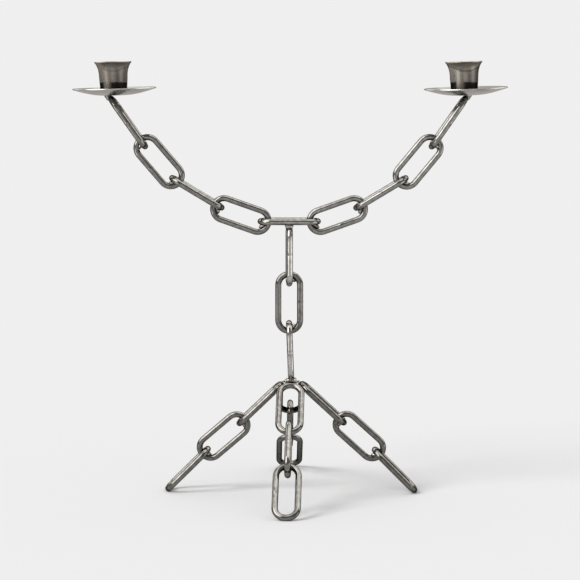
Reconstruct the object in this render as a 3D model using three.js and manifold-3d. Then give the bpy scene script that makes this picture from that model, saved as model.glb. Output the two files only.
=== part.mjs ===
// A two-armed candelabra made of welded chain links, standing on four legs
//
// Millimetres, +Z up, +Y away from the viewer, origin on the floor under the hub.
// Every link is the same oval of round bar. Each one hooks through the end of the link before
// it, turned a quarter turn, and a weld bead in the crotch of every hook makes the chain rigid.

import * as THREE from 'three';
import { mergeVertices } from 'three/addons/utils/BufferGeometryUtils.js';
import Module from 'manifold-3d';

const wasm = await Module();
wasm.setup();

// Chain link, measured over the outside of the bar
const barDiameter = 6;
const linkLength = 61.5;
const linkWidth = 27.2;

// Slack between the two bars at a hook, filled by the weld
const leftArmSlack = 1.9;
const rightArmSlack = 2.2;
const legSlack = 1.4;
const upperStemSlack = 3.2;
const lowerStemSlack = 1.7;

// Slope of each link above the level, from the crossbar out, in degrees
const leftArmTilts = [19.5, 31, 49.5, 55];
const rightArmTilts = [19.5, 31, 50.5, 55.5];

// How much steeper each hook of an arm pulls than the mean of its two links, in degrees
const armHookTurns = [14, -10, 4, 2];

// Slope of each leg's links below the level, from the hub out, in degrees
const legTilts = {
  right: [42.7, 42.2, 45.3],
  back: [40, 49.4, 42],
  left: [43.8, 40.7, 45],
  front: [43.5, 41.5, 46],
};

// Turn of each leg round the stem, in degrees
const legTurns = { right: -0.9, back: 91, left: 177.6, front: 267.6 };
const footFlatDepth = 0.5;

// Stem
const stemLean = 2.2;
const upperStemTurn = 3.5;

// Clear distance between bars that lie side by side
const hubGap = 1.5;
const stemSeatGap = 1.6;
const crossbarGap = 2.2;

// Drip pans: a flat seat in a shallow dish of sheet steel
const panDiameter = 80.5;
const panDepth = 6;
const panSeatMargin = 0.9;
const panWall = 1.2;
const panDishPower = 1.5;
const panGap = 0.5;

// Where each pan sits on its arm, how far the cup stands to the left of its middle, and its leans
const leftPan = { inset: 3.1, cupOffset: 0.6, sideLean: 1.4, frontLean: 0.5 };
const rightPan = { inset: -1, cupOffset: 1.5, sideLean: 1.8, frontLean: 1 };

// Candle cups: a straight foot that swells to a neck and flares to the rim
const cupHeight = 30.5;
const cupFootDiameter = 25.2;
const cupNeckDiameter = 27.8;
const cupRimDiameter = 35.8;
const cupFlareHeight = 10;
const cupWall = 1.2;
const cupFloor = 1.2;

// Welds
const weldClearance = 0.3;
const hookBeadLap = 2.6;
const hookBeadSink = 0.8;
const crossbarBeadLength = 10;
const crossbarBeadLap = 5.2;
const hubBeadLap = 2.5;
const hubBeadRise = 3;
const panBeadLength = 13;
const panBeadLap = 2;
const brazeSize = 1.6;

// Facets
const barSides = 10;
const bendSteps = 8;
const dishSides = 32;
const dishSteps = 5;
const flareSteps = 5;

const barRadius = barDiameter / 2;
const apexSpan = linkLength - barDiameter;
const bendRadius = (linkWidth - barDiameter) / 2;
const halfStraight = (linkLength - linkWidth) / 2;
const footHeight = barRadius - footFlatDepth;
const panSeatRadius = cupFootDiameter / 2 + panSeatMargin;
const hookBeadDiameter = barDiameter + hookBeadLap;
const hookBeadDrop = barRadius + hookBeadSink;
const crossbarBeadDiameter = crossbarGap + crossbarBeadLap;
const hubBeadHeight = barDiameter + hubBeadRise;
const panBeadDiameter = barDiameter + panBeadLap;

const linkSteel = new THREE.MeshStandardMaterial({ color: 0x8a8782, roughness: 0.32, metalness: 1 });
const weldSteel = new THREE.MeshStandardMaterial({ color: 0x77736d, roughness: 0.5, metalness: 1 });
const panSteel = new THREE.MeshStandardMaterial({ color: 0xb4b2ad, roughness: 0.42, metalness: 1 });
const cupSteel = new THREE.MeshStandardMaterial({ color: 0x7f7974, roughness: 0.3, metalness: 1 });

// Solids for joining and cutting

function toSolid(geometry) {
  const bare = geometry.clone();
  bare.deleteAttribute('normal');
  bare.deleteAttribute('uv');
  const merged = mergeVertices(bare, 1e-4);
  return new wasm.Manifold(new wasm.Mesh({
    numProp: 3,
    vertProperties: new Float32Array(merged.attributes.position.array),
    triVerts: new Uint32Array(merged.index.array),
  }));
}

function fromSolid(solid) {
  const mesh = solid.getMesh();
  const geometry = new THREE.BufferGeometry();
  geometry.setAttribute('position', new THREE.BufferAttribute(mesh.vertProperties, 3));
  geometry.setIndex(new THREE.BufferAttribute(mesh.triVerts, 1));
  geometry.computeVertexNormals();
  return geometry;
}

// A piece as a solid where it stands
function placedSolid(geometry, object) {
  object.updateWorldMatrix(true, false);
  return toSolid(geometry.clone().applyMatrix4(object.matrixWorld));
}

// Chain links

// A closed bar along the link's oval centreline, its long axis on X and its flat in XY
function ovalBar(radius) {
  const points = [];
  const rings = [];
  for (const side of [1, -1]) {
    for (let step = 0; step <= bendSteps; step++) {
      const turn = Math.PI * (step / bendSteps - 0.5);
      const outward = new THREE.Vector3(side * Math.cos(turn), side * Math.sin(turn), 0);
      const centre = outward.clone().multiplyScalar(bendRadius);
      centre.x += side * halfStraight;
      rings.push({ centre, outward });
    }
  }
  for (const { centre, outward } of rings) {
    for (let corner = 0; corner < barSides; corner++) {
      const angle = (corner + 0.5) / barSides * 2 * Math.PI;
      const point = centre.clone().addScaledVector(outward, radius * Math.cos(angle));
      point.z += radius * Math.sin(angle);
      points.push(point);
    }
  }
  const index = [];
  for (let ring = 0; ring < rings.length; ring++) {
    const here = ring * barSides;
    const next = ((ring + 1) % rings.length) * barSides;
    for (let corner = 0; corner < barSides; corner++) {
      const after = (corner + 1) % barSides;
      index.push(here + corner, next + corner, next + after);
      index.push(here + corner, next + after, here + after);
    }
  }
  const geometry = new THREE.BufferGeometry().setFromPoints(points);
  geometry.setIndex(index);
  geometry.computeVertexNormals();
  return geometry;
}

const linkShape = ovalBar(barRadius);
const linkClearanceShape = ovalBar(barRadius + weldClearance);

const radians = THREE.MathUtils.degToRad;

// The direction of a slope in the XZ plane
function along(tilt) {
  return new THREE.Vector3(Math.cos(radians(tilt)), 0, Math.sin(radians(tilt)));
}

// A link's place: the centre of the bar at its near and far ends
function placeLink(near, tilt) {
  return { near, tilt, far: near.clone().addScaledVector(along(tilt), apexSpan) };
}

// The next link's near end lies inside the last link's far end, on the mean of their slopes
function hookLink(last, tilt, slack, turn = 0) {
  const pull = (last.tilt + tilt) / 2 + turn;
  const near = last.far.clone().addScaledVector(along(pull), -(barDiameter + slack));
  return { ...placeLink(near, tilt), pull };
}

// A link's mesh: flat across Y, or turned upright into the XZ plane
function makeLink(name, place, upright, turn = 0) {
  const link = new THREE.Mesh(linkShape, linkSteel);
  link.name = name;
  link.rotation.order = 'YXZ';
  link.rotation.y = -radians(place.tilt);
  link.rotation.x = (upright ? Math.PI / 2 : 0) + radians(turn);
  link.position.addVectors(place.near, place.far).multiplyScalar(0.5);
  return link;
}

// Grinds the lowest bend of a leg flat where it stands on the floor
function grindFoot(link) {
  link.updateWorldMatrix(true, false);
  const place = new THREE.Vector3().setFromMatrixPosition(link.matrixWorld);
  const block = new THREE.BoxGeometry(linkLength * 2, linkLength * 2, linkLength);
  block.translate(place.x, place.y, -linkLength / 2);
  block.applyMatrix4(link.matrixWorld.clone().invert());
  link.geometry = fromSolid(toSolid(link.geometry).subtract(toSolid(block)));
}

// Weld beads

function clearanceOf(link) {
  return placedSolid(linkClearanceShape, link);
}

// A rounded lump at a centre, cut back from the pieces that it joins
function makeBead(name, centre, size, neighbours) {
  const lump = new THREE.IcosahedronGeometry(0.5, 1);
  lump.scale(size.x, size.y, size.z);
  lump.translate(centre.x, centre.y, centre.z);
  let solid = toSolid(lump);
  for (const neighbour of neighbours) {
    solid = solid.subtract(neighbour);
  }
  const bead = new THREE.Mesh(fromSolid(solid), weldSteel);
  bead.name = name;
  return bead;
}

// The bead in the crotch of a hook, on one side of the chain
function makeHookBead(name, group, last, next, lastLink, nextLink) {
  const centre = last.far.clone().add(next.near).multiplyScalar(0.5);
  centre.addScaledVector(along(next.pull - 90), hookBeadDrop);
  group.localToWorld(centre);
  const size = new THREE.Vector3(1, 1, 1).multiplyScalar(hookBeadDiameter);
  return makeBead(name, centre, size, [clearanceOf(lastLink), clearanceOf(nextLink)]);
}

const candelabra = new THREE.Group();
const beads = new THREE.Group();
candelabra.add(beads);

// Legs

// Radius of the ring of the legs' first bends, with a gap between neighbours at the diagonals
const steepestStart = Math.max(...Object.values(legTilts).map((tilts) => tilts[0]));
const slopeRun = Math.cos(radians(steepestStart));
const hubRadius = (barDiameter + hubGap) / Math.SQRT2
  + bendRadius * (Math.sqrt(1 + slopeRun ** 2) - slopeRun);

// Height at which a leg starts: what its three sloping links and two hooks come to
function legHeight(tilts) {
  let last = placeLink(new THREE.Vector3(), -tilts[0]);
  for (const tilt of tilts.slice(1)) {
    last = hookLink(last, -tilt, legSlack);
  }
  return footHeight - last.far.z;
}

const hubHeight = legHeight(legTilts.front);

function makeLeg(side, tilts) {
  const leg = new THREE.Group();
  leg.rotation.z = radians(legTurns[side]);
  candelabra.add(leg);
  leg.updateWorldMatrix(true, false);
  let last = placeLink(new THREE.Vector3(hubRadius, 0, legHeight(tilts)), -tilts[0]);
  let lastLink = makeLink(`${side}_leg_link_1`, last, false);
  leg.add(lastLink);
  const firstLink = lastLink;
  tilts.slice(1).forEach((tilt, hook) => {
    const next = hookLink(last, -tilt, legSlack);
    const nextLink = makeLink(`${side}_leg_link_${hook + 2}`, next, hook % 2 === 0);
    leg.add(nextLink);
    beads.add(makeHookBead(`${side}_leg_weld_${hook + 1}`, leg, last, next, lastLink, nextLink));
    last = next;
    lastLink = nextLink;
  });
  grindFoot(lastLink);
  return firstLink;
}

const legTops = Object.entries(legTilts).map(([side, tilts]) => makeLeg(side, tilts));

// Stem

const stem = new THREE.Group();
candelabra.add(stem);

// The stem's last bend sits between the front and back legs' first bends
const seatReach = bendRadius + barDiameter + stemSeatGap;
const stemSeatRise = Math.sqrt(seatReach ** 2 - hubRadius ** 2) - bendRadius;

const stemPlaces = [];
stemPlaces[2] = placeLink(new THREE.Vector3(0, 0, hubHeight + stemSeatRise), 90 + stemLean);
stemPlaces[1] = hookLink(stemPlaces[2], 90, lowerStemSlack);
stemPlaces[0] = hookLink(stemPlaces[1], 90, upperStemSlack);

const stemLinks = [
  makeLink('stem_link_1', stemPlaces[0], false, upperStemTurn),
  makeLink('stem_link_2', stemPlaces[1], true),
  makeLink('stem_link_3', stemPlaces[2], false),
];
stem.add(...stemLinks);

for (const hook of [1, 2]) {
  beads.add(makeHookBead(`stem_weld_${hook}`, stem, stemPlaces[hook], stemPlaces[hook - 1],
    stemLinks[hook], stemLinks[hook - 1]));
}

const hubBeadCentre = new THREE.Vector3(0, 0, hubHeight + barRadius / 2);
const hubBeadDiameter = 2 * (hubRadius - barRadius + hubBeadLap);
beads.add(makeBead('hub_weld', hubBeadCentre,
  new THREE.Vector3(hubBeadDiameter, hubBeadDiameter, hubBeadHeight),
  [...legTops, stemLinks[2]].map(clearanceOf)));

// Crossbar: its side bars pass just over the shoulders of the stem's top bend

const shoulderReach = bendRadius + barDiameter + crossbarGap;
const crossbarRise = Math.sqrt(shoulderReach ** 2 - bendRadius ** 2);
const crossbarCentre = stemPlaces[0].far.clone();
crossbarCentre.z += crossbarRise - bendRadius;

const crossbarStart = crossbarCentre.clone().addScaledVector(along(0), -apexSpan / 2);
const crossbar = makeLink('crossbar_link', placeLink(crossbarStart, 0), false);
candelabra.add(crossbar);

for (const [face, side] of [['front', -1], ['back', 1]]) {
  const towardsBar = new THREE.Vector3(0, side * bendRadius, crossbarRise).normalize();
  const centre = crossbarCentre.clone();
  centre.z -= crossbarRise;
  centre.addScaledVector(towardsBar, bendRadius + barRadius + crossbarGap / 2);
  centre.z -= barRadius / 3;
  beads.add(makeBead(`crossbar_${face}_weld`, centre,
    new THREE.Vector3(crossbarBeadLength, crossbarBeadDiameter, crossbarBeadDiameter),
    [clearanceOf(crossbar), clearanceOf(stemLinks[0])]));
}

// Arms

function makeArm(side, heading, tilts, slack) {
  const arm = new THREE.Group();
  arm.position.copy(crossbarCentre);
  arm.rotation.z = radians(heading);
  candelabra.add(arm);
  arm.updateWorldMatrix(true, false);
  let last = placeLink(new THREE.Vector3(-apexSpan / 2, 0, 0), 0);
  let lastLink = crossbar;
  tilts.forEach((tilt, hook) => {
    const next = hookLink(last, tilt, slack, armHookTurns[hook]);
    const nextLink = makeLink(`${side}_arm_link_${hook + 1}`, next, hook % 2 === 0);
    arm.add(nextLink);
    beads.add(makeHookBead(`${side}_arm_weld_${hook + 1}`, arm, last, next, lastLink, nextLink));
    last = next;
    lastLink = nextLink;
  });
  return { end: arm.localToWorld(last.far.clone()), link: lastLink, outward: along(heading) };
}

// Drip pans and candle cups

// Height of the dish's underside at a radius
function dishHeight(radius) {
  const run = Math.max(0, radius - panSeatRadius) / (panDiameter / 2 - panSeatRadius);
  return panDepth * run ** panDishPower;
}

function panShape() {
  const slope = panDiameter / 2 - panSeatRadius;
  const underside = [new THREE.Vector2(0, 0)];
  for (let step = 0; step <= dishSteps; step++) {
    const radius = panSeatRadius + slope * step / dishSteps;
    underside.push(new THREE.Vector2(radius, dishHeight(radius)));
  }
  const inside = underside.map((point) => new THREE.Vector2(point.x, point.y + panWall)).reverse();
  return new THREE.LatheGeometry([...underside, ...inside], dishSides).rotateX(Math.PI / 2);
}

// Outer radius of the cup at a height above its foot
function cupRadius(height) {
  const neckHeight = cupHeight - cupFlareHeight;
  const body = cupFootDiameter + (cupNeckDiameter - cupFootDiameter) * Math.min(1, height / neckHeight);
  const flare = Math.max(0, height - neckHeight) / cupFlareHeight;
  return (body + (cupRimDiameter - cupNeckDiameter) * flare ** 2) / 2;
}

function cupShape() {
  const neckHeight = cupHeight - cupFlareHeight;
  const heights = [0, neckHeight];
  for (let step = 1; step <= flareSteps; step++) {
    heights.push(neckHeight + cupFlareHeight * step / flareSteps);
  }
  const outside = heights.map((height) => new THREE.Vector2(cupRadius(height), height));
  const inside = heights.slice(1).reverse()
    .map((height) => new THREE.Vector2(cupRadius(height) - cupWall, height));
  const floor = [
    new THREE.Vector2(cupRadius(cupFloor) - cupWall, cupFloor),
    new THREE.Vector2(0, cupFloor),
  ];
  return new THREE.LatheGeometry([new THREE.Vector2(0, 0), ...outside, ...inside, ...floor], dishSides)
    .rotateX(Math.PI / 2);
}

// A fillet of braze round the cup's foot, clear of both sheets
function brazeShape() {
  const inner = cupFootDiameter / 2 + weldClearance * 1.5;
  const profile = [[0, 0], [brazeSize, 0], [brazeSize / 2, brazeSize / 2], [0, brazeSize], [0, 0]]
    .map(([out, up]) => new THREE.Vector2(inner + out, up));
  return new THREE.LatheGeometry(profile, dishSides).rotateX(Math.PI / 2);
}

function makeHolder(side, arm, pan) {
  const holder = new THREE.Group();
  holder.position.copy(arm.end).addScaledVector(arm.outward, -pan.inset);
  holder.position.z += barRadius + panGap;
  holder.rotation.set(radians(pan.frontLean), -radians(pan.sideLean), 0);
  candelabra.add(holder);

  const dish = new THREE.Mesh(panShape(), panSteel);
  dish.name = `${side}_drip_pan`;
  const cup = new THREE.Mesh(cupShape(), cupSteel);
  cup.name = `${side}_candle_cup`;
  cup.position.set(-pan.cupOffset, 0, panWall + weldClearance);
  const braze = new THREE.Mesh(brazeShape(), weldSteel);
  braze.name = `${side}_cup_weld`;
  braze.position.copy(cup.position);
  holder.add(dish, cup, braze);

  // The bead on the outer side of the arm's last bend stays below the sheet
  const above = new THREE.BoxGeometry(panDiameter, panDiameter, panDepth * 2);
  above.translate(0, 0, panDepth - weldClearance);
  const centre = arm.end.clone().addScaledVector(arm.outward, barRadius);
  centre.z += barRadius / 3;
  beads.add(makeBead(`${side}_pan_weld`, centre,
    new THREE.Vector3(panBeadDiameter, panBeadLength, panBeadDiameter),
    [clearanceOf(arm.link), placedSolid(above, holder)]));
}

makeHolder('left', makeArm('left', 180, leftArmTilts, leftArmSlack), leftPan);
makeHolder('right', makeArm('right', 0, rightArmTilts, rightArmSlack), rightPan);

export default candelabra;
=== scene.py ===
# %% [markdown]
# This is a candelabra made of welded chain links. Two curved arms and four splayed legs meet a
# short stem, and each arm carries a shallow drip pan with a flared candle cup.
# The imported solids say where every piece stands. This script sets the camera, gives each piece its
# real shape and finish, and then lays the floor and the light.

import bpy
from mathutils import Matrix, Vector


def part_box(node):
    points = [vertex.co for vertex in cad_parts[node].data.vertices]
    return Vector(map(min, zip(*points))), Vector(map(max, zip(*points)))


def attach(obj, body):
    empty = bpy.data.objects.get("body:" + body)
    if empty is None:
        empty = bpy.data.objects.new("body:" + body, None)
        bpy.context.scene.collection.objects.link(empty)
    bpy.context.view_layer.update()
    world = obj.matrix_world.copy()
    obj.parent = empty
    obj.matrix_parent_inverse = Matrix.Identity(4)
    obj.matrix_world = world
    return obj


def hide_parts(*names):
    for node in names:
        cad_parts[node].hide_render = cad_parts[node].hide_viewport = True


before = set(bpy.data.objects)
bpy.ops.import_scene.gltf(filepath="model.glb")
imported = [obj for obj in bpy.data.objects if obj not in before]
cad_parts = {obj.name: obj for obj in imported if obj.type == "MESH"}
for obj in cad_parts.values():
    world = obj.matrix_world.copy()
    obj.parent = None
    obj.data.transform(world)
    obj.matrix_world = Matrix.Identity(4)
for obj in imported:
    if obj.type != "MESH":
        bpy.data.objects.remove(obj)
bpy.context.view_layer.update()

# %% [markdown]
# Lengths are written in millimetres, times one factor that makes them Blender's metres. Blender's
# edit tools act on whatever is selected, so everything is deselected before a new piece is
# started, and points are then selected by their place. They could also be picked by number, but
# the numbers change with every cut.
#
# A bisect leaves points alone that are closer to its plane than its threshold, a tenth of a
# millimetre unless it is told otherwise, so it is told a much smaller one.

# %% Units
import math

import bmesh
import bpy
import numpy as np
from mathutils import Matrix, Vector

MM = 0.001
CUT_CLOSENESS = 0.001 * MM

# %% Select points and edges


def deselect_all():
    bpy.ops.object.select_all(action="DESELECT")


def select_points(test):
    """Selects the points of the edited mesh whose place passes a test."""
    points = bmesh.from_edit_mesh(bpy.context.object.data)
    bpy.ops.mesh.select_mode(type="VERT")
    for vertex in points.verts:
        vertex.select = test(vertex.co)
    points.select_flush_mode()
    bmesh.update_edit_mesh(bpy.context.object.data)


def select_open_ends():
    """Selects the edges that have only one face."""
    points = bmesh.from_edit_mesh(bpy.context.object.data)
    bpy.ops.mesh.select_mode(type="EDGE")
    for edge in points.edges:
        edge.select = len(edge.link_faces) < 2
    points.select_flush_mode()
    bmesh.update_edit_mesh(bpy.context.object.data)


def edit(on=True):
    bpy.ops.object.mode_set(mode="EDIT" if on else "OBJECT")


# %% Clean and finish a mesh


def weld_points_and_face_outwards():
    bpy.ops.mesh.select_all(action="SELECT")
    bpy.ops.mesh.remove_doubles(threshold=0.01 * MM)
    bpy.ops.mesh.normals_make_consistent(inside=False)


def face_seat_down(piece):
    """Turns all faces over if the one in the middle looks up, so that outward is outward."""
    seat = min(piece.data.polygons, key=lambda face: face.center.length)
    if seat.normal.z > 0:
        edit()
        bpy.ops.mesh.select_all(action="SELECT")
        bpy.ops.mesh.flip_normals()
        edit(False)


def settle(piece):
    """Puts the piece's place into its mesh, with its object at the origin."""
    deselect_all()
    piece.select_set(True)
    bpy.context.view_layer.objects.active = piece
    bpy.ops.object.transform_apply(location=True, rotation=True, scale=True)


def apply_modifier(piece, kind, **settings):
    """Adds a modifier, sets it up and applies it."""
    modifier = piece.modifiers.new(kind.title(), kind)
    for name, value in settings.items():
        setattr(modifier, name, value)
    deselect_all()
    piece.select_set(True)
    bpy.context.view_layer.objects.active = piece
    bpy.ops.object.modifier_apply(modifier=modifier.name)


def triangles(piece):
    return sum(len(face.vertices) - 2 for face in piece.data.polygons)


# %% [markdown]
# The photograph looks slightly down at the candelabra from straight in front. A camera could be
# moved by hand until the picture fits, but many pairs of lens and distance almost fit. The edge-on
# links, the feet and the pans together fix both: the horizon lies well above the middle, level
# with the pans, so the pans are seen edge on.

# %% Camera
CAMERA_PITCH = math.radians(6.19)
CAMERA_DISTANCE = 1.6994
LOOK_AT = Vector((-0.0012, 0, 0.19915))
FOCAL_PIXELS = 1752
PICTURE_PIXELS = 580

camera = bpy.data.objects.new("camera", bpy.data.cameras.new("camera"))
bpy.context.scene.collection.objects.link(camera)
camera.data.lens = camera.data.sensor_width * FOCAL_PIXELS / PICTURE_PIXELS
back = Vector((0, -math.cos(CAMERA_PITCH), math.sin(CAMERA_PITCH)))
camera.location = LOOK_AT + back * CAMERA_DISTANCE
camera.rotation_euler = (math.pi / 2 - CAMERA_PITCH, 0, 0)
bpy.context.scene.camera = camera
print("camera at", [round(v, 4) for v in camera.location], "lens", round(camera.data.lens, 1), "mm")

# %% [markdown]
# Materials could be wired node by node, but shader sums read best as plain arithmetic. This class
# wraps a socket of a material's nodes, so that an expression on it adds the Math nodes. Every
# other node comes from its node method.

# %% A socket that can be used in sums


class Wire:
    """A socket of a node tree. Sums on it add Math nodes."""

    def __init__(self, tree, socket=None):
        self.tree = tree
        self.socket = socket

    def node(self, kind, settings=None, sockets=None, output=0):
        """Adds a node, sets it up, then sets or links its sockets. Returns one of its outputs."""
        made = self.tree.nodes.new("ShaderNode" + kind)
        for name, value in (settings or {}).items():
            setattr(made, name, value)
        for name, value in (sockets or {}).items():
            found = [s for s in made.inputs if s.enabled and name in (s.name, s.identifier)]
            if isinstance(value, Wire):
                self.tree.links.new(value.socket, found[0])
            else:
                found[0].default_value = value
        return Wire(self.tree, made.outputs[output])

    def sum(self, operation, first, second):
        made = self.tree.nodes.new("ShaderNodeMath")
        made.operation = operation
        for socket, value in zip(made.inputs, (first, second)):
            if isinstance(value, Wire):
                self.tree.links.new(value.socket, socket)
            else:
                socket.default_value = value
        return Wire(self.tree, made.outputs[0])

    def __add__(self, other):
        return self.sum("ADD", self, other)

    def __radd__(self, other):
        return self.sum("ADD", other, self)

    def __sub__(self, other):
        return self.sum("SUBTRACT", self, other)

    def __rsub__(self, other):
        return self.sum("SUBTRACT", other, self)

    def __mul__(self, other):
        return self.sum("MULTIPLY", self, other)

    def __rmul__(self, other):
        return self.sum("MULTIPLY", other, self)


# %% [markdown]
# Noise gives a metal its clouds, streaks and pits. An image could too, but it would need a file
# and would repeat. The noise's scale counts lumps in a metre, so a scale of 250 makes one every
# 4 mm. A Map Range node turns the noise's middle range into a mask with soft edges, and a colour
# mix lays one tint over another through such a mask.

# %% Noise, masks and tints


def place(start, scale, centre=(0, 0, 0)):
    """Object coordinates, measured from a centre and stretched by a scale for each axis."""
    here = start.node("TexCoord", output="Object")
    sockets = {"Vector": here, "Vector_001": centre}
    shifted = start.node("VectorMath", {"operation": "SUBTRACT"}, sockets)
    return stretch(start, shifted, scale)


def stretch(start, where, scale):
    sockets = {"Vector": where, "Vector_001": scale}
    return start.node("VectorMath", {"operation": "MULTIPLY"}, sockets)


def direction(start, where):
    return start.node("VectorMath", {"operation": "NORMALIZE"}, {"Vector": where})


def distance(start, where):
    return start.node("VectorMath", {"operation": "LENGTH"}, {"Vector": where}, output="Value")


def closeness(start, where, towards):
    """How far one direction points along another: 1 where they agree, 0 at a right angle."""
    sockets = {"Vector": where, "Vector_001": towards}
    return start.node("VectorMath", {"operation": "DOT_PRODUCT"}, sockets, output="Value")


def noise(start, where, scale, detail=3.0, roughness=0.55):
    return start.node(
        "TexNoise", {}, {"Vector": where, "Scale": scale, "Detail": detail, "Roughness": roughness}
    )


def mask(start, value, low, high):
    """0 where the value is under low, 1 over high, and smooth between."""
    settings = {"interpolation_type": "SMOOTHSTEP"}
    return start.node("MapRange", settings, {"Value": value, "From Min": low, "From Max": high})


def tint(start, under, over, amount):
    """Lays one colour over another. A Mix node's colour comes out third, after number and vector."""
    settings = {"data_type": "RGBA"}
    sockets = {"Factor_Float": amount, "A_Color": under, "B_Color": over}
    return start.node("Mix", settings, sockets, output=2)


def colour(red, green, blue):
    return (red, green, blue, 1)


# %% [markdown]
# A finish is one Principled shader, fed with a colour, a roughness and a height for its bumps.
# Bare steel is fully metallic. Its edge tint is dark, because steel that has been through a fire
# has a thin scale that dulls it at a grazing angle. A coat of varnish could be laid over it, but
# the real steel is bare.

# %% A finish for bare metal
FIRED_EDGE = colour(0.2, 0.195, 0.187)


def metal(material, base, rough, height, height_mm, edge_tint=FIRED_EDGE):
    """A steel finish from a colour, a roughness and a height that makes its bumps."""
    tree = material.node_tree
    shader = tree.nodes["Principled BSDF"]
    shader.inputs["Metallic"].default_value = 1
    shader.inputs["Specular Tint"].default_value = edge_tint
    sockets = {"Height": height, "Distance": height_mm * MM, "Strength": 1.0}
    bump = base.node("Bump", {}, sockets)
    tree.links.new(base.socket, shader.inputs["Base Color"])
    tree.links.new(rough.socket, shader.inputs["Roughness"])
    tree.links.new(bump.socket, shader.inputs["Normal"])
    print("finish", material.name, len(tree.nodes), "nodes")
    return material


def begin(name):
    """Starts a material, and gives it with a first wire to build on."""
    material = bpy.data.materials.new(name)
    material.use_nodes = True
    return material, Wire(material.node_tree)


def attribute(start, name, output):
    return start.node("Attribute", {"attribute_name": name}, {}, output)


# %% [markdown]
# The links are round bar, rubbed bright and then left bare. A pattern on the object's coordinates
# alone would cut straight through the bends, so each link carries three attributes of its own.
# One says where a point lies along and round the bar, which lets rubbing streaks follow it. One
# says how close the point is to a weld, where the heat left a darker, browner and rougher band.
# The last says how bright it was rubbed, and it carries painted light too: faces that look to the
# front are made brighter, and the crowns of the bends darker as painted shade. The ring of the butt
# weld is ground a little brighter.

# %% Finish of the links
DULL_BAR = (colour(0.15, 0.144, 0.133), colour(0.108, 0.103, 0.094))
RUBBED_BAR = (colour(0.56, 0.545, 0.515), colour(0.43, 0.417, 0.393))
GROUND_RING = colour(0.62, 0.61, 0.59)
HEAT_BROWN = colour(0.1, 0.082, 0.073)
STREAK_STRETCH = (50, 1300, 1300)


def link_finish():
    material, start = begin("rubbed_bar")
    bar = attribute(start, "bar_place", "Vector")
    streak = noise(start, stretch(start, bar, STREAK_STRETCH), 1.0, 2.0)
    here = place(start, (1, 1, 1))
    clouds = noise(start, here, 260, 4.0)
    broad = noise(start, here, 45, 3.0)
    pits = noise(start, here, 1400, 2.0)
    heat = attribute(start, "weld_heat", "Fac")
    rub_and_painted_light = attribute(start, "rub_and_painted_light", "Fac")
    heat_edge = mask(start, heat + (clouds - 0.5) * 0.5, 0.25, 0.85)

    patchy = mask(start, clouds, 0.41, 0.61)
    dull = tint(start, *DULL_BAR, patchy)
    bright = tint(start, *RUBBED_BAR, patchy)
    # Besides the rubbing, the rub attribute holds painted light on faces looking to the front and
    # painted shade on the crowns of bends.
    base = tint(start, dull, bright, rub_and_painted_light + (broad - 0.5) * 0.16 + (streak - 0.5) * 0.2)
    along = start.node("SeparateXYZ", {}, {"Vector": bar})
    beyond_ring = mask(start, along * along, (0.5 * MM) ** 2, (1.0 * MM) ** 2)
    base = tint(start, base, GROUND_RING, (1 - beyond_ring) * rub_and_painted_light * rub_and_painted_light)
    base = tint(start, base, HEAT_BROWN, heat_edge * 0.5)
    rough = 0.045 + clouds * 0.08 + streak * 0.05 + heat_edge * 0.12
    height = streak * 0.3 + pits * 0.3 + clouds * 0.6
    return metal(material, base, rough, height, 0.006)


LINK_STEEL = link_finish()

# %% [markdown]
# Weld metal has a skin of dark scale, with bright high spots where the wire brush has touched it.
# One image of a weld would look the same on every bead, so a noise lays the scale, a finer one
# the grit, and a strong bump makes both stand out.

# %% Finish of the welds
WELD_METAL = (colour(0.4, 0.387, 0.362), colour(0.15, 0.136, 0.122))


def weld_finish():
    material, start = begin("weld_metal")
    here = place(start, (1, 1, 1))
    lumps = noise(start, here, 520, 3.0)
    grit = noise(start, here, 1900, 2.0)
    scale_skin = mask(start, lumps, 0.4, 0.62)
    base = tint(start, *WELD_METAL, scale_skin)
    rough = 0.2 + scale_skin * 0.2 + grit * 0.08
    return metal(material, base, rough, lumps + grit * 0.4, 0.09)


WELD_STEEL = weld_finish()

# %% [markdown]
# The drip pans are spun from sheet. They are the lightest metal here, with fine rings round
# their centre from the spinning and faint smears from handling. They were never in the fire, so
# their edge tint is lighter. Their inside, which looks up, carries painted shade, so that it mirrors
# the light above less brightly, and a patch at the back gets less of it. An attribute tells the
# inside from the underside.
#
# Patches like this one lie in one direction from the middle of a round piece, so a patch is where
# a point's direction is close to the patch's own. It fades over a part of its half width. A
# painted mask would do as well, but it would need an image.

# %% Finish of the pans
PAN_EDGE = colour(0.48, 0.466, 0.447)
SPUN_SHEET = (colour(0.46, 0.45, 0.428), colour(0.37, 0.359, 0.338))
PAN_GRAIN = colour(0.28, 0.265, 0.25)
PAN_INSIDE_SHADE = colour(0.12, 0.113, 0.104)
LIGHTER_INSIDE_PATCH = {"left": (175, 46), "right": (188, 32)}
PATCH_LIGHTENING = 0.4


def patch(start, outwards, heading, half_width, fade=0.2):
    """1 near a heading, which is counted from the front to the right."""
    soft = math.radians(half_width) * fade
    heading, half_width = math.radians(heading), math.radians(half_width)
    towards = (math.sin(heading), -math.cos(heading), 0)
    near = closeness(start, outwards, towards)
    return mask(start, near, math.cos(half_width + soft), math.cos(half_width - soft))


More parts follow.
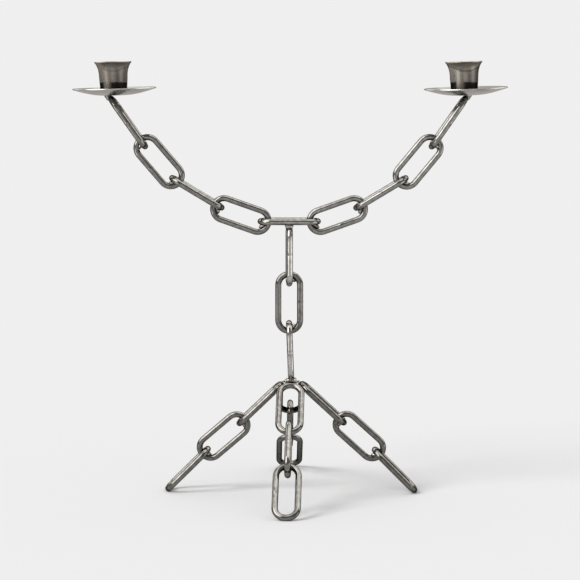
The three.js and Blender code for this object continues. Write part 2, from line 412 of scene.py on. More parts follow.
def pan_finish(side, centre):
    material, start = begin(f"spun_pan_{side}")
    around = place(start, (1, 1, 0), centre)
    outwards = direction(start, around)
    sockets = {"W": distance(start, around), "Scale": 2600.0, "Detail": 2.0}
    rings = start.node("TexNoise", {"noise_dimensions": "1D"}, sockets)
    here = place(start, (1, 1, 1))
    smears = noise(start, here, 60, 4.0)
    grain = noise(start, here, 900, 2.0)
    base = tint(start, *SPUN_SHEET, mask(start, smears, 0.4, 0.65))
    base = tint(start, base, PAN_GRAIN, mask(start, grain, 0.5, 0.75) * 0.35)
    inside = attribute(start, "inside", "Fac")
    # Painted shade on the inside, so that the upturned face mirrors the light above less brightly. A
    # patch at the back gets less of it.
    inside_shade = inside * (1 - patch(start, outwards, *LIGHTER_INSIDE_PATCH[side]) * PATCH_LIGHTENING)
    base = tint(start, base, PAN_INSIDE_SHADE, inside_shade * 0.95)
    rough = 0.17 + smears * 0.1 + grain * 0.04 + inside * 0.12
    return metal(material, base, rough, rings * 0.6 + grain * 0.4, 0.012, PAN_EDGE)


# %% [markdown]
# The cups are darker and browner than the pans, with soft clouds in the scale. Almost black
# patches lie outside at the foot. Broad, soft patches paint shade on the wall in two directions and
# light in one, on the side towards the sun. The mouth was beaten out in two broad petals, with a
# soft crease along the lower edge of each, darkened as painted shade. They show more on the right
# cup.
#
# All this could be painted by hand, but masks of direction and height are easier to move. A patch
# is written as its heading and its half width in degrees, and as its strength where that differs.

# %% Dark patches at the foot of a cup
DARK_FOOT_HEADINGS = [(35, 43), (-65, 25), (170, 40)]
DARK_FOOT_TOP = 10.6 * MM
DARK_FOOT_FADE = 0.7 * MM
OUTSIDE = (12.1 * MM, 12.4 * MM)


def dark_foot_mask(start, outwards, height, radius):
    """The black patches round the foot, on the outside of the wall only."""
    marks = patch(start, outwards, *DARK_FOOT_HEADINGS[0])
    for heading, half_width in DARK_FOOT_HEADINGS[1:]:
        marks = marks + patch(start, outwards, heading, half_width)
    above = mask(start, height, DARK_FOOT_TOP - DARK_FOOT_FADE, DARK_FOOT_TOP + DARK_FOOT_FADE)
    return marks * (1 - above) * mask(start, radius, *OUTSIDE)


# %% Petals in the flare of a cup
FLARE_EDGE = 27.4 * MM
FLARE_FADE = 0.4 * MM
PETAL_DEPTH = 5.5 * MM
CREASE = 0.9 * MM


def petals(start, outwards, height):
    """The flare over its lower edge, which dips in front and behind, and the crease along it."""
    front = closeness(start, outwards, (0, -1, 0))
    over_edge = height - FLARE_EDGE + front * front * PETAL_DEPTH
    flare = mask(start, over_edge, -FLARE_FADE, FLARE_FADE)
    below = over_edge + CREASE
    beyond_crease = mask(start, below * below, (0.4 * CREASE) ** 2, (1.3 * CREASE) ** 2)
    return flare, 1 - beyond_crease


# %% Colour of a cup's wall
CUP_WALL = (colour(0.24, 0.218, 0.19), colour(0.195, 0.174, 0.15))
DRIP_PALE = colour(0.28, 0.26, 0.228)
WALL_PAINTED_SHADE = colour(0.05, 0.045, 0.04)
WALL_PAINTED_LIGHT = colour(0.4, 0.37, 0.33)
PAINTED_SHADE_PATCHES = [(38, 26, 0.55), (-24, 13, 0.22)]
PAINTED_LIGHT_PATCH = (-62, 24, 0.4)
WALL_FADE = 0.6


def cup_wall(start, outwards, clouds, drips):
    """The brown of the wall, with its pale drips, and broad patches of painted shade and painted light.
    """
    base = tint(start, *CUP_WALL, mask(start, clouds, 0.4, 0.62))
    base = tint(start, base, DRIP_PALE, mask(start, drips, 0.55, 0.75) * 0.3)
    # Painted shade on two sides of the wall.
    for heading, half_width, strength in PAINTED_SHADE_PATCHES:
        shaded = patch(start, outwards, heading, half_width, WALL_FADE) * strength
        base = tint(start, base, WALL_PAINTED_SHADE, shaded)
    # Painted light on the side towards the sun.
    heading, half_width, strength = PAINTED_LIGHT_PATCH
    lit = patch(start, outwards, heading, half_width, WALL_FADE) * strength
    return tint(start, base, WALL_PAINTED_LIGHT, lit)


# %% Finish of the cups
PETAL_BROWN = colour(0.2, 0.183, 0.155)
PETAL_SHOWS = {"left": 0.45, "right": 0.9}
NEAR_BLACK = colour(0.014, 0.011, 0.01)


def cup_finish(side, foot):
    material, start = begin(f"brown_cup_{side}")
    height = start.node("SeparateXYZ", {}, {"Vector": place(start, (0, 0, 1), foot)}, output="Z")
    level = place(start, (1, 1, 0), foot)
    outwards = direction(start, level)
    here = place(start, (1, 1, 1))
    clouds = noise(start, here, 70, 3.0)
    grain = noise(start, here, 1100, 2.0)
    drips = noise(start, place(start, (1, 1, 0.25)), 220, 3.0)
    uneven_height = height + (drips - 0.5) * 2 * MM
    dark_foot = dark_foot_mask(start, outwards, uneven_height, distance(start, level))
    flare, crease = petals(start, outwards, height)
    base = cup_wall(start, outwards, clouds, drips)
    base = tint(start, base, PETAL_BROWN, flare * PETAL_SHOWS[side])
    # Painted shade along the crease under the lower edge of each petal.
    base = tint(start, base, WALL_PAINTED_SHADE, crease * 0.6 * PETAL_SHOWS[side])
    base = tint(start, base, NEAR_BLACK, dark_foot * 0.94)
    rough = 0.3 + clouds * 0.06 + grain * 0.04 + dark_foot * 0.12
    return metal(material, base, rough, grain * 0.3 + drips - crease * 4, 0.012)


# %% [markdown]
# Every link is the same oval of round bar. A curve with a round bevel would give the same tube,
# but its rings can't be cut or swelled one by one, so the link is modelled by hand. A circle, the
# section of the bar, is spun half a turn for the first bend, drawn out straight, spun again for
# the second bend, and bridged to where it started. The ends of the bar meet in the last straight
# side, and their butt weld leaves a low ring there.

# %% Sizes of a link
BAR_DIAMETER = 6 * MM
LINK_LENGTH = 61.35 * MM
LINK_WIDTH = 27.2 * MM
BAR_SIDES = 32
BEND_STEPS = 24
STRAIGHT_STEPS = 8

BAR_RADIUS = BAR_DIAMETER / 2
BEND_RADIUS = (LINK_WIDTH - BAR_DIAMETER) / 2
HALF_STRAIGHT = (LINK_LENGTH - LINK_WIDTH) / 2
APEX_REACH = (LINK_LENGTH - BAR_DIAMETER) / 2

# %% Model one link


def spin_bend(centre_x):
    """Turns the open end of the bar half a turn round a bend's centre."""
    bpy.ops.mesh.spin(
        steps=BEND_STEPS, angle=math.pi, center=(centre_x, 0, 0), axis=(0, 0, -1)
    )


def draw_out_straight():
    step = -2 * HALF_STRAIGHT / STRAIGHT_STEPS
    for _ in range(STRAIGHT_STEPS):
        bpy.ops.mesh.extrude_region_move(TRANSFORM_OT_translate={"value": (step, 0, 0)})


def model_link():
    deselect_all()
    bpy.ops.mesh.primitive_circle_add(
        vertices=BAR_SIDES, radius=BAR_RADIUS, rotation=(0, math.pi / 2, 0),
        location=(HALF_STRAIGHT, -BEND_RADIUS, 0),
    )
    link = bpy.context.object
    link.name = "link_pattern"
    settle(link)
    edit()
    bpy.ops.mesh.select_all(action="SELECT")
    spin_bend(HALF_STRAIGHT)
    draw_out_straight()
    spin_bend(-HALF_STRAIGHT)
    select_open_ends()
    bpy.ops.mesh.bridge_edge_loops(number_cuts=STRAIGHT_STEPS - 1)
    weld_points_and_face_outwards()
    edit(False)
    return link


link_pattern = model_link()
print("link", triangles(link_pattern), "triangles, size in mm",
      [round(v / MM, 2) for v in link_pattern.dimensions])

# %% [markdown]
# The butt weld stands out as a low ring. A bump could suggest it, but a bump doesn't show in the
# outline. So two planes a little apart cut rings of points into the bar, and the ring between
# them is spread by 0.15 mm, so that it catches the light.

# %% Raise the butt weld's ring
BUTT_HALF_WIDTH = 0.9 * MM
BUTT_SWELL = 1.05


def raise_butt_weld(link):
    deselect_all()
    link.select_set(True)
    bpy.context.view_layer.objects.active = link
    edit()
    for side in (-1, 1):
        select_points(lambda at: at.y < 0 and abs(at.x) < HALF_STRAIGHT * 0.9)
        bpy.ops.mesh.bisect(
            plane_co=(side * BUTT_HALF_WIDTH, 0, 0), plane_no=(1, 0, 0), threshold=CUT_CLOSENESS
        )
    select_points(lambda at: at.y < 0 and abs(at.x) < BUTT_HALF_WIDTH / 2)
    bpy.ops.transform.resize(
        value=(1, BUTT_SWELL, BUTT_SWELL), center_override=(0, -BEND_RADIUS, 0)
    )
    edit(False)


raise_butt_weld(link_pattern)
print("butt weld", round(BAR_DIAMETER * BUTT_SWELL / MM, 2), "mm across")

# %% [markdown]
# Rubbing streaks have to follow the bar round its bends. A UV map could carry them, but it has a
# seam along the bar. So each point keeps its distance along the bar, and how far it lies out of
# the bend and out of the flat.

# %% Where each point lies on the bar


def bar_place(at):
    """Distance along the bar's centre line, and the offset out of the bend and out of the flat."""
    if abs(at.x) <= HALF_STRAIGHT:
        side = 1 if at.y > 0 else -1
        along = -side * at.x
        out = side * at.y - BEND_RADIUS
        if side > 0:
            along += 2 * HALF_STRAIGHT + math.pi * BEND_RADIUS
    else:
        side = 1 if at.x > 0 else -1
        arm = Vector((at.x - side * HALF_STRAIGHT, at.y))
        turn = math.atan2(side * arm.y, side * arm.x) + math.pi / 2
        along = HALF_STRAIGHT + turn * BEND_RADIUS
        if side < 0:
            along += 2 * HALF_STRAIGHT + math.pi * BEND_RADIUS
        out = arm.length - BEND_RADIUS
    return along, out, at.z


places = link_pattern.data.attributes.new("bar_place", "FLOAT_VECTOR", "POINT")
for vertex, entry in zip(link_pattern.data.vertices, places.data):
    entry.vector = bar_place(vertex.co)
print("bar", round(max(entry.vector.x for entry in places.data) / MM, 1), "mm long")

# %% [markdown]
# A link's place could be typed in again, but then the two models might drift apart. So it is read
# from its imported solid: the centre of its surface, and the three axes along which the surface
# spreads most, less and least. These are the link's length, its width and the normal of its flat.

# %% Read a solid's centre and axes
MOSTLY = 0.5
ALMOST_LEVEL = 0.1


def solid_axes(node):
    """The centre of a solid's surface, and its axes from the least to the widest spread."""
    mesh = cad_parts[node].data
    mesh.calc_loop_triangles()
    points = np.array([vertex.co for vertex in mesh.vertices])
    corners = points[np.array([t.vertices for t in mesh.loop_triangles])]
    area = np.linalg.norm(
        np.cross(corners[:, 1] - corners[:, 0], corners[:, 2] - corners[:, 0]), axis=1
    )
    area /= area.sum()
    centre = (corners.mean(axis=1) * area[:, None]).sum(axis=0)
    away = corners - centre
    total = away.sum(axis=1)
    spread = np.einsum("t,tci,tcj->ij", area, away, away)
    spread += np.einsum("t,ti,tj->ij", area, total, total)
    return centre, np.linalg.eigh(spread)[1].T


def link_matrix(node):
    """Where a link stands. Its butt weld is turned to the front, or else to the underside."""
    centre, axes = solid_axes(node)
    side, along = Vector(axes[1]), Vector(axes[2])
    if (side.y if abs(side.y) > MOSTLY else side.z) < 0:
        side.negate()
    if along.z < -ALMOST_LEVEL or (abs(along.z) <= ALMOST_LEVEL and along.x < 0):
        along.negate()
    turned = Matrix((along, side, along.cross(side))).transposed().to_4x4()
    return Matrix.Translation(Vector(centre)) @ turned


LINK_NODES = sorted(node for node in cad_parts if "_link" in node)
link_places = {node: link_matrix(node) for node in LINK_NODES}
print("links", len(LINK_NODES))

# %% [markdown]
# Two links are hooked where an end of one lies inside an end of the other. Each weld is a fillet
# in the crotch of such a hook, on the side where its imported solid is. It lies between the bar
# that is seen end on and the inside of the other link's bend, and follows that bend. The plain
# solid doesn't say how the fillet turns, so it is worked out from the two nearest link ends.

# %% Find each hook and the place of its bead
HOOK_BEAD_DROP = 3.3 * MM
HOOK_BEAD_SHIFT = 0.9 * MM
HOOK_BEAD_TURN = math.radians(30)


def link_ends(node):
    return [link_places[node] @ Vector((side * APEX_REACH, 0, 0)) for side in (-1, 1)]


def hooked_ends(middle):
    """The two link ends nearest to a weld, each with its link's side axis."""
    found = [
        ((end - middle).length, end, link_places[name].to_3x3().col[1])
        for name in LINK_NODES for end in link_ends(name)
    ]
    found.sort(key=lambda entry: entry[0])
    return found[0][1:], found[1][1:]


def hook_bead_place(node):
    """Centre of a fillet, with its directions through and along the bend."""
    middle = Vector(solid_axes(node)[0])
    (one, one_side), (other, other_side) = hooked_ends(middle)
    crossing = (one + other) / 2
    pull = (one - other).normalized()
    drop = middle - crossing
    drop = (drop - pull * drop.dot(pull)).normalized()
    if abs(one_side.dot(drop)) > abs(other_side.dot(drop)):
        pull.negate()
    through = pull * math.cos(HOOK_BEAD_TURN) - drop * math.sin(HOOK_BEAD_TURN)
    follow = drop * math.cos(HOOK_BEAD_TURN) + pull * math.sin(HOOK_BEAD_TURN)
    return crossing + drop * HOOK_BEAD_DROP + pull * HOOK_BEAD_SHIFT, through, follow


HOOK_WELDS = sorted(
    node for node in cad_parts
    if any(word in node for word in ("arm_weld", "leg_weld", "stem_weld"))
)
bead_places = {node: hook_bead_place(node) for node in HOOK_WELDS}
print("hook welds", len(bead_places))

# %% [markdown]
# The links could all share one mesh, but the feet are cut level with the floor, and each link
# keeps values of its own. So each is a copy of the pattern with its own mesh, moved to its place.
# Every point learns how near it is to the closest weld, and how bright it was rubbed. That brightness
# is also painted light and shade: more where the bar faces the front, and less on the crown of a bend.

# %% Tie a finished piece to the imported part
dressed = []


def finish_piece(piece, material, slot, *nodes):
    """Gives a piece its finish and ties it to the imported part."""
    piece.data.materials.clear()
    piece.data.materials.append(material)
    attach(piece, "root")
    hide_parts(*nodes)
    dressed.append(piece)


# %% Heat, rubbing and painted light on a link
HEAT_REACH = 11 * MM
RUBBED = {
    "stem_link_1": 0.85, "stem_link_2": 0.06, "stem_link_3": 0.6, "crossbar": 0.32,
    "left_arm": 0.16, "right_arm": 0.24, "left_leg": 0.1, "right_leg": 0.06,
    "front_leg_link_2": 0.2, "front_leg": 0.1, "back_leg": 0.0,
}
RUBBED_BEHIND = 0.35
CROWN_PAINTED_SHADE = 0.8


def add_heat(piece, centres):
    heat = piece.data.attributes.new("weld_heat", "FLOAT", "POINT")
    for vertex, entry in zip(piece.data.vertices, heat.data):
        nearest = min((vertex.co - centre).length for centre in centres)
        entry.value = max(0.0, 1 - nearest / HEAT_REACH)


def add_rub(piece, amount):
    """How bright a point was rubbed, with painted light and shade: most where the bar faces the front,
    least on the crown of a bend.
    """
    rub = piece.data.attributes.new("rub_and_painted_light", "FLOAT", "POINT")
    for vertex, entry in zip(piece.data.vertices, rub.data):
        # Painted light: faces that look to the front get more of the bright metal. Painted shade: the
        # crown of a bend gets less.
        front, crown = max(0.0, -vertex.normal.y), max(0.0, vertex.normal.z)
        facing = RUBBED_BEHIND + (1 - RUBBED_BEHIND) * front
        entry.value = amount * facing * (1 - CROWN_PAINTED_SHADE * crown)


# %% Place a link and grind its foot
FOOT_CUT = 0.02 * MM


def grind_foot(link):
    """Cuts the foot level with the floor and closes the cut."""
    deselect_all()
    link.select_set(True)
    bpy.context.view_layer.objects.active = link
    edit()
    bpy.ops.mesh.select_all(action="SELECT")
    bpy.ops.mesh.bisect(
        plane_co=(0, 0, FOOT_CUT), plane_no=(0, 0, 1), use_fill=True, clear_inner=True,
        threshold=CUT_CLOSENESS,
    )
    edit(False)


def place_link(node, pattern):
    link = bpy.data.objects.new(f"{node}_bar", pattern.data.copy())
    bpy.context.scene.collection.objects.link(link)
    link.data.transform(link_places[node])
    if node.endswith("leg_link_3"):
        grind_foot(link)
    return link


# %% Place the links
heat_centres = [entry[0] for entry in bead_places.values()]
heat_centres += [
    Vector(solid_axes(node)[0]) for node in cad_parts
    if "weld" in node and node not in bead_places and "cup" not in node
]
for node in LINK_NODES:
    bar = place_link(node, link_pattern)
    bar.data.shade_smooth()
    add_heat(bar, heat_centres)
    add_rub(bar, next(RUBBED[part] for part in RUBBED if part in node))
    finish_piece(bar, LINK_STEEL, "link_steel", node)
bpy.data.objects.remove(link_pattern)
print("links placed", len(dressed), "lowest points in mm",
      sorted((round(min(v.co.z for v in bar.data.vertices) / MM, 3), bar.name) for bar in dressed)[:4])

# %% [markdown]
# A weld bead is a lump of metal that froze as it was laid. It could be sculpted, but two dozen
# lumps are quicker and more even when they come from one recipe. A sphere is stretched along the
# seam, and a cloud texture pushes its skin in and out. The cloud is read in world space, so no
# two beads come out alike.

# %% Model a bead
BEAD_LUMP = bpy.data.textures.new("bead_lump", "CLOUDS")
BEAD_LUMP.noise_scale = 2.6 * MM
BEAD_LUMP.noise_depth = 1
BEAD_PUSH = 0.5 * MM


def turn_towards(first, second):
    """A turn whose X and Y axes lie along two directions."""
    x = first.normalized()
    z = x.cross(second).normalized()
    return Matrix((x, z.cross(x), z)).transposed().to_4x4()


def model_bead(name, centre, turn, size, push=BEAD_PUSH, detail=4):
    """A lump of weld metal with its three sizes along the axes of a turn."""
    deselect_all()
    bpy.ops.mesh.primitive_ico_sphere_add(subdivisions=detail, radius=0.5)
    bead = bpy.context.object
    bead.name = name
    edit()
    bpy.ops.mesh.select_all(action="SELECT")
    bpy.ops.transform.resize(value=size)
    edit(False)
    bead.data.transform(Matrix.Translation(centre) @ turn)
    apply_modifier(
        bead, "DISPLACE", texture=BEAD_LUMP, texture_coords="GLOBAL", strength=push, mid_level=0.5
    )
    bead.data.shade_smooth()
    return bead


# %% Place the hook beads
HOOK_BEAD_SIZE = (3.7 * MM, 7.2 * MM, 7.0 * MM)

for node, (centre, through, follow) in bead_places.items():
    turn = turn_towards(through, follow)
    bead = model_bead(f"{node}_bead", centre, turn, HOOK_BEAD_SIZE)
    finish_piece(bead, WELD_STEEL, "weld_steel", node)
print("hook beads", len(bead_places))

# %% [markdown]
# Under the crossbar the top of the stem carries one small bead at the front and one at the back.
# At the hub the welder went round the stem's foot. One rough lump could stand for that, but the
# steps of the weld show. So a core holds the legs together and a ring of small ripples lies on
# it, each a little bead of its own, joined into one piece.

# %% Crossbar beads
UPRIGHT = Matrix.Identity(4)
CROSSBAR_BEAD_SIZE = (8.4 * MM, 6.4 * MM, 5.4 * MM)
CROSSBAR_BEAD_DEPTH = 3 * MM


def solid_middle(node, below_top):
    """The middle of a solid's box, at a depth below its top."""
    low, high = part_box(node)
    middle = (Vector(low) + Vector(high)) / 2
    middle.z = high[2] - below_top
    return middle


for node in ("crossbar_front_weld", "crossbar_back_weld"):
    middle = solid_middle(node, CROSSBAR_BEAD_DEPTH)
    bead = model_bead(f"{node}_bead", middle, UPRIGHT, CROSSBAR_BEAD_SIZE)
    finish_piece(bead, WELD_STEEL, "weld_steel", node)
    print(node, "bead", triangles(bead), "triangles")

# %% Hub weld
HUB_CORE_SIZE = (16 * MM, 16 * MM, 6 * MM)
HUB_CORE_DEPTH = 5.6 * MM
HUB_CORE_PUSH = 0.6 * MM
HUB_RIPPLE_SIZE = (3.8 * MM, 3.4 * MM, 4.2 * MM)
HUB_RIPPLES = 12
HUB_RING = Vector((5.0 * MM, 8.6 * MM, 2.4 * MM))
HUB_RISE = 2.2 * MM


def join_pieces(pieces, name):
    deselect_all()
    for piece in pieces:
        piece.select_set(True)
    bpy.context.view_layer.objects.active = pieces[0]
    bpy.ops.object.join()
    pieces[0].name = name
    return pieces[0]


def model_hub_weld(core):
    """A core with a ring of ripples that climbs the stem's bend in front and behind."""
    pieces = [model_bead("hub_core", core, UPRIGHT, HUB_CORE_SIZE, HUB_CORE_PUSH)]
    for step in range(HUB_RIPPLES):
        angle = 2 * math.pi * step / HUB_RIPPLES
        rise = HUB_RISE * math.sin(angle) ** 2
        out = Vector((HUB_RING.x * math.cos(angle), HUB_RING.y * math.sin(angle), HUB_RING.z + rise))
        name = f"hub_ripple_{step}"
        pieces.append(model_bead(name, core + out, UPRIGHT, HUB_RIPPLE_SIZE, detail=3))
    return join_pieces(pieces, "hub_weld_beads")


hub = model_hub_weld(solid_middle("hub_weld", HUB_CORE_DEPTH))
finish_piece(hub, WELD_STEEL, "weld_steel", "hub_weld")
print("hub weld", triangles(hub), "triangles")

# %% [markdown]
# Each arm's end is held to its pan by a wedge of weld metal that fills the sharp corner outside
# the bend. A bead like the others would be too round for it. A cone, wide under the pan and
# narrow on the bar, has the shape. Its edges are rounded, and the same clouds roughen it.

# %% Pan welds
WEDGE_TOP_RADIUS = 3.9 * MM
WEDGE_FOOT_RADIUS = 1.3 * MM
WEDGE_HEIGHT = 5 * MM
WEDGE_LEAN = 0.6 * MM
WEDGE_SPREAD = 1.3
WEDGE_CUTS = (-0.3, -0.1, 0.1, 0.3)
WEDGE_ROUNDING = 0.8 * MM
WEDGE_PUSH = 0.4 * MM


def model_wedge(name, middle, inwards):
    deselect_all()
    bpy.ops.mesh.primitive_cone_add(
        vertices=48, radius1=WEDGE_FOOT_RADIUS, radius2=WEDGE_TOP_RADIUS, depth=WEDGE_HEIGHT,
    )
    wedge = bpy.context.object
    wedge.name = name
    edit()
    bpy.ops.mesh.select_all(action="SELECT")
    bpy.ops.transform.resize(value=(1, WEDGE_SPREAD, 1))
    select_points(lambda at: at.z < 0)
    bpy.ops.transform.translate(value=(inwards * WEDGE_LEAN, 0, 0))
    for height in WEDGE_CUTS:
        bpy.ops.mesh.select_all(action="SELECT")
        bpy.ops.mesh.bisect(
            plane_co=(0, 0, height * WEDGE_HEIGHT), plane_no=(0, 0, 1), threshold=CUT_CLOSENESS
        )
    edit(False)
    wedge.data.transform(Matrix.Translation(middle))
    apply_modifier(wedge, "BEVEL", width=WEDGE_ROUNDING, segments=4, limit_method="ANGLE")
    apply_modifier(
        wedge, "DISPLACE", texture=BEAD_LUMP, texture_coords="GLOBAL",
        strength=WEDGE_PUSH, mid_level=0.5,
    )
    wedge.data.shade_smooth()
    return wedge


for side, inwards in (("left", 1), ("right", -1)):
    node = f"{side}_pan_weld"
    wedge = model_wedge(f"{node}_wedge", solid_middle(node, WEDGE_HEIGHT / 2), inwards)
    finish_piece(wedge, WELD_STEEL, "weld_steel", node)
    print(side, "pan wedge", triangles(wedge), "triangles")

# %% [markdown]
# A drip pan is a disc of sheet. A profile turned by a Screw modifier would do as well, but drawing
# the sheet out ring by ring is closer to how a pan is made. It starts as the flat seat under the
# cup, and its edge is drawn out and up, steeper towards the rim. Solidify gives the sheet its
# thickness and a bevel rounds the rim. Each point learns whether it looks up, into the pan.

# %% Sizes of a pan
PAN_RADIUS = 40.25 * MM
PAN_SEAT_RADIUS = 13.5 * MM
PAN_DEPTH = 6 * MM
PAN_DISH_POWER = 1.5
SHEET = 1.2 * MM
PAN_RINGS = 14
PAN_SIDES = 96
PAN_ROUNDING = 0.35 * MM
LOOKS_UP = 0.6

# %% Model a pan


def grow_ring(radius_ratio, rise):
    """Draws the selected edge out to a wider ring and lifts it."""
    bpy.ops.mesh.extrude_edges_move()
    bpy.ops.transform.resize(value=(radius_ratio, radius_ratio, 1), center_override=(0, 0, 0))
    bpy.ops.transform.translate(value=(0, 0, rise))


def model_pan():
    deselect_all()
    bpy.ops.mesh.primitive_circle_add(
        vertices=PAN_SIDES, radius=PAN_SEAT_RADIUS, fill_type="TRIFAN"
    )
    pan = bpy.context.object
    edit()
    select_open_ends()
    radius, height = PAN_SEAT_RADIUS, 0.0
    for ring in range(1, PAN_RINGS + 1):
        run = ring / PAN_RINGS
        new_radius = PAN_SEAT_RADIUS + (PAN_RADIUS - PAN_SEAT_RADIUS) * run
        new_height = PAN_DEPTH * run ** PAN_DISH_POWER
        grow_ring(new_radius / radius, new_height - height)
        radius, height = new_radius, new_height
    weld_points_and_face_outwards()
    edit(False)
    face_seat_down(pan)
    apply_modifier(pan, "SOLIDIFY", thickness=SHEET, offset=-1.0)
    apply_modifier(pan, "BEVEL", width=PAN_ROUNDING, segments=3, limit_method="ANGLE")
    pan.data.shade_smooth()
    return pan


pan_pattern = model_pan()
insides = pan_pattern.data.attributes.new("inside", "FLOAT", "POINT")
for vertex, entry in zip(pan_pattern.data.vertices, insides.data):
    entry.value = 1.0 if vertex.normal.z > LOOKS_UP else 0.0
print("pan", triangles(pan_pattern), "triangles, size in mm",
      [round(v / MM, 2) for v in pan_pattern.dimensions],
      "lowest", round(min(v.co.z for v in pan_pattern.data.vertices) / MM, 2))

# %% [markdown]
# The candle cup's foot is almost straight, its neck swells a little, and its mouth flares out. It
# is made as the pan is: the circle of the foot is drawn up in rings, whose radii were measured on
# the photograph. The mouth was beaten out by hand, so its rim rises and spreads at five ears and
# dips between them. Each ear is drawn up with proportional editing, which takes the flare below
# it along.

# %% Sizes of a cup
CUP_RINGS = [
    (0.0, 12.6), (3.0, 12.8), (6.2, 13.0), (9.5, 13.2), (13.3, 13.5), (16.9, 13.65), (18.8, 13.75),
    (20.6, 13.95), (22.5, 14.3), (24.2, 14.75), (25.9, 15.35), (27.4, 16.1), (28.6, 16.9), (29.5, 17.7),
]
CUP_SIDES = 96
CUP_ROUNDING = 0.3 * MM
CUP_EARS = (2, 64, 122, 181, 266)
EAR_HALF_WIDTH = math.radians(10)
EAR_RISE = 0.38 * MM
EAR_SPREAD = 0.25 * MM
EAR_REACH = 8 * MM

# %% Model a cup


def draw_ear(heading):
    """Draws the rim up and out at one heading of the mouth."""
    out = Vector((math.cos(math.radians(heading)), math.sin(math.radians(heading)), 0))
    rim = CUP_RINGS[-1][0] * MM - 0.05 * MM
    near = math.cos(EAR_HALF_WIDTH)
    select_points(lambda at: at.z > rim and Vector((at.x, at.y, 0)).normalized().dot(out) > near)
    bpy.ops.transform.translate(
        value=(out.x * EAR_SPREAD, out.y * EAR_SPREAD, EAR_RISE), use_proportional_edit=True,
        proportional_edit_falloff="SMOOTH", proportional_size=EAR_REACH,
    )


def model_cup():
    deselect_all()
    radius = CUP_RINGS[0][1]
    bpy.ops.mesh.primitive_circle_add(vertices=CUP_SIDES, radius=radius * MM, fill_type="TRIFAN")
    cup = bpy.context.object
    edit()
    select_open_ends()
    height = 0.0
    for new_height, new_radius in CUP_RINGS[1:]:
        grow_ring(new_radius / radius, (new_height - height) * MM)
        radius, height = new_radius, new_height
    weld_points_and_face_outwards()
    for heading in CUP_EARS:
        draw_ear(heading)
    edit(False)
    face_seat_down(cup)
    apply_modifier(cup, "SOLIDIFY", thickness=SHEET, offset=-1.0)
    apply_modifier(cup, "BEVEL", width=CUP_ROUNDING, segments=3, limit_method="ANGLE")
    cup.data.shade_smooth()
    return cup


cup_pattern = model_cup()
print("cup", triangles(cup_pattern), "triangles, size in mm",
      [round(v / MM, 2) for v in cup_pattern.dimensions])

# %% [markdown]
# Each pan and cup leans a degree or two with its arm. It could be turned until it looks right, but
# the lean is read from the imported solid: its axis is the one nearest to upright, and its foot is
# the solid's lowest point along that axis. In the photograph a sliver of each pan's inside shows
# over its near rim, so the pans tip a degree more to the front.

# %% Place the pans and cups


def lathe_matrix(node):
    """Where a round solid stands, with its axis upright along Z and its foot at the origin."""
    centre, axes = solid_axes(node)
    axis = Vector(max(axes, key=lambda way: abs(way[2])))
    if axis.z < 0:
        axis.negate()
    points = [vertex.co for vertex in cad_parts[node].data.vertices]
    lowest = min((point - Vector(centre)).dot(axis) for point in points)
    side = Vector((1, 0, 0)) - axis * axis.x
    turned = turn_towards(side, axis.cross(side))
    return Matrix.Translation(Vector(centre) + axis * lowest) @ turned


def place_copy(pattern, name, matrix):
    piece = bpy.data.objects.new(name, pattern.data.copy())
    bpy.context.scene.collection.objects.link(piece)
    piece.data.transform(matrix)
    return piece


PAN_TIP = Matrix.Rotation(math.radians(1.2), 4, "X")

for side in ("left", "right"):
    pan_at = lathe_matrix(f"{side}_drip_pan") @ PAN_TIP
    pan = place_copy(pan_pattern, f"{side}_pan_dish", pan_at)
    finish_piece(pan, pan_finish(side, pan_at.translation), "pan_steel", f"{side}_drip_pan")
    cup_at = lathe_matrix(f"{side}_candle_cup")
    cup = place_copy(cup_pattern, f"{side}_cup_shell", cup_at)
    finish_piece(cup, cup_finish(side, cup_at.translation), "cup_steel", f"{side}_candle_cup")
    print(side, "pan leans", round(math.degrees(pan_at.to_3x3().col[2].angle((0, 0, 1))), 2), "degrees")
bpy.data.objects.remove(pan_pattern)
bpy.data.objects.remove(cup_pattern)

# %% [markdown]
# The braze round each cup's foot is a thin rope of metal. Blender has a ready shape for it, the
# torus, which is flattened a little and made uneven by the same clouds as the beads.

# %% Model the brazes
BRAZE_RING_RADIUS = 13.3 * MM
BRAZE_ROPE_RADIUS = 0.9 * MM
BRAZE_FLATTENING = 0.8
BRAZE_RISE = 0.3 * MM
BRAZE_PUSH = 0.3 * MM


def model_braze(name, matrix):
    deselect_all()
    bpy.ops.mesh.primitive_torus_add(
        major_radius=BRAZE_RING_RADIUS, minor_radius=BRAZE_ROPE_RADIUS,
        major_segments=96, minor_segments=16,
    )
    braze = bpy.context.object
    braze.name = name
    edit()
    bpy.ops.mesh.select_all(action="SELECT")
    bpy.ops.transform.resize(value=(1, 1, BRAZE_FLATTENING))
    edit(False)
    braze.data.transform(matrix @ Matrix.Translation((0, 0, BRAZE_RISE)))
    apply_modifier(
        braze, "DISPLACE", texture=BEAD_LUMP, texture_coords="GLOBAL",
        strength=BRAZE_PUSH, mid_level=0.5,
    )
    braze.data.shade_smooth()
    return braze


for side in ("left", "right"):
    braze = model_braze(f"{side}_cup_braze", lathe_matrix(f"{side}_cup_weld"))
    finish_piece(braze, WELD_STEEL, "weld_steel", f"{side}_cup_weld")
    print(side, "braze", triangles(braze), "triangles")

# %% [markdown]
# The studio is plain. The floor is pale, and what lies beyond it is the same pale grey, so that no
# horizon shows: the sun gives the floor just what the sky's light leaves short of that grey. The
# sun is broad, stands on the left and a little in front, and lays the photograph's soft shadows.
#
# An endless floor would be simpler, but an upright bar mirrors what lies just under the horizon,
# and a pale floor there would make the bar evenly pale. So the floor ends under a metre away.

# %% Floor
PAPER = 0.86
PAPER_FIBRES = 0.004
FLOOR_REACH = 0.75


def grey(level):
    return colour(level, level, level)


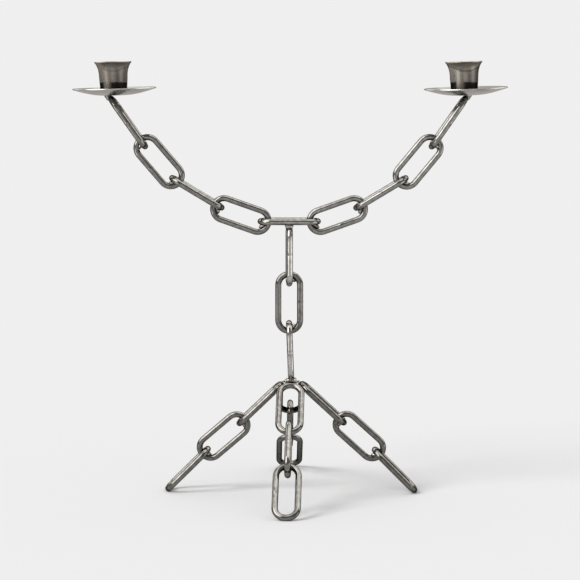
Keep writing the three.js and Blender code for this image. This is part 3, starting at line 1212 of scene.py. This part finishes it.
def floor_paper():
    material, start = begin("floor_paper")
    shader = start.tree.nodes["Principled BSDF"]
    fibres = noise(start, place(start, (1, 1, 1)), 90)
    paper = tint(start, grey(PAPER + PAPER_FIBRES), grey(PAPER - PAPER_FIBRES), fibres)
    start.tree.links.new(paper.socket, shader.inputs["Base Color"])
    shader.inputs["Roughness"].default_value = 1
    shader.inputs["Specular IOR Level"].default_value = 0
    return material


def lay_floor():
    deselect_all()
    bpy.ops.mesh.primitive_circle_add(vertices=128, radius=FLOOR_REACH, fill_type="NGON")
    floor = bpy.context.object
    floor.name = "floor"
    floor.data.materials.append(floor_paper())


lay_floor()

# %% Sun
PALE = 0.865
SKY_LIGHT = 0.68
KEY_DIRECTION = Vector((-0.64, -0.30, 0.60)).normalized()
KEY_ANGLE = math.radians(24)
KEY_POWER = (PALE / PAPER - SKY_LIGHT) * math.pi / KEY_DIRECTION.z


def key_sun():
    lamp = bpy.data.objects.new("key_sun", bpy.data.lights.new("key_sun", "SUN"))
    bpy.context.scene.collection.objects.link(lamp)
    lamp.rotation_euler = KEY_DIRECTION.to_track_quat("Z", "Y").to_euler()
    lamp.data.energy = KEY_POWER
    lamp.data.angle = KEY_ANGLE
    lamp.visible_glossy = False


key_sun()
print("key sun", round(KEY_POWER, 2))

# %% [markdown]
# Bare metal shows little colour of its own, mostly what stands round it. In the photograph every
# bar carries bright and dark bands, so the studio that the metal sees is a dim room with a dozen
# soft lights. Area lamps would light the floor too, so these are painted on the world as round
# glows that only reflections show. Each is written as its direction, counted from the camera's
# side to the right, its height over the horizon and its half width, all in degrees, and its
# brightness. The one straight below carries on the light of the floor beyond its edge.
#
# On the world, Generated coordinates are the direction in which a ray looks. Blender can aim its
# light samples at bright parts of the world, but it can't tell that only reflections see these,
# so that is turned off.

# %% Soft boxes for the metal
ROOM = 0.395
SOFT_EDGE = 0.15
SOFT_BOXES = [
    (-56, 36, 26, 4.9),
    (66, 72, 19, 3.5),
    (-60, 72, 18, 2.0),
    (104, 37, 24, 2.3),
    (180, 0, 62, 0.42),
    (180, 50, 30, 2.8),
    (-130, 30, 21, 2.3),
    (136, 28, 21, 1.5),
    (-52, -14, 14, 2.4),
    (8, -11, 22, 0.6),
    (0, -90, 77, 0.45),
    (72, -12, 20, 1.8),
]


def soft_box(start, look, azimuth, height, half_width, brightness):
    """A round glow on the world, with a soft edge."""
    azimuth, height, half_width = (math.radians(v) for v in (azimuth, height, half_width))
    flat = math.cos(height)
    towards = (flat * math.sin(azimuth), -flat * math.cos(azimuth), math.sin(height))
    near = closeness(start, look, towards)
    outer, inner = half_width * (1 + SOFT_EDGE), half_width * (1 - SOFT_EDGE)
    return mask(start, near, math.cos(outer), math.cos(inner)) * brightness


# %% The world round the candelabra


def surroundings():
    world = bpy.data.worlds.new("studio")
    bpy.context.scene.world = world
    world.use_nodes = True
    start = Wire(world.node_tree)
    look = start.node("TexCoord", output="Generated")
    metal_sees = ROOM + soft_box(start, look, *SOFT_BOXES[0])
    for box in SOFT_BOXES[1:]:
        metal_sees = metal_sees + soft_box(start, look, *box)
    camera_ray, glossy_ray, transmission_ray = (
        start.node("LightPath", output=name)
        for name in ("Is Camera Ray", "Is Glossy Ray", "Is Transmission Ray")
    )
    plain = camera_ray + transmission_ray
    strength = plain * PALE + glossy_ray * metal_sees + (1 - plain - glossy_ray) * SKY_LIGHT
    shader = world.node_tree.nodes["Background"]
    shader.inputs["Color"].default_value = grey(1)
    world.node_tree.links.new(strength.socket, shader.inputs["Strength"])
    world.cycles.sampling_method = "NONE"


surroundings()
print("soft boxes", len(SOFT_BOXES))

# %% [markdown]
# A film-like view would soften the colours, so the plain one shows them as they are written.

# %% Finish
bpy.context.scene.view_settings.view_transform = "Standard"
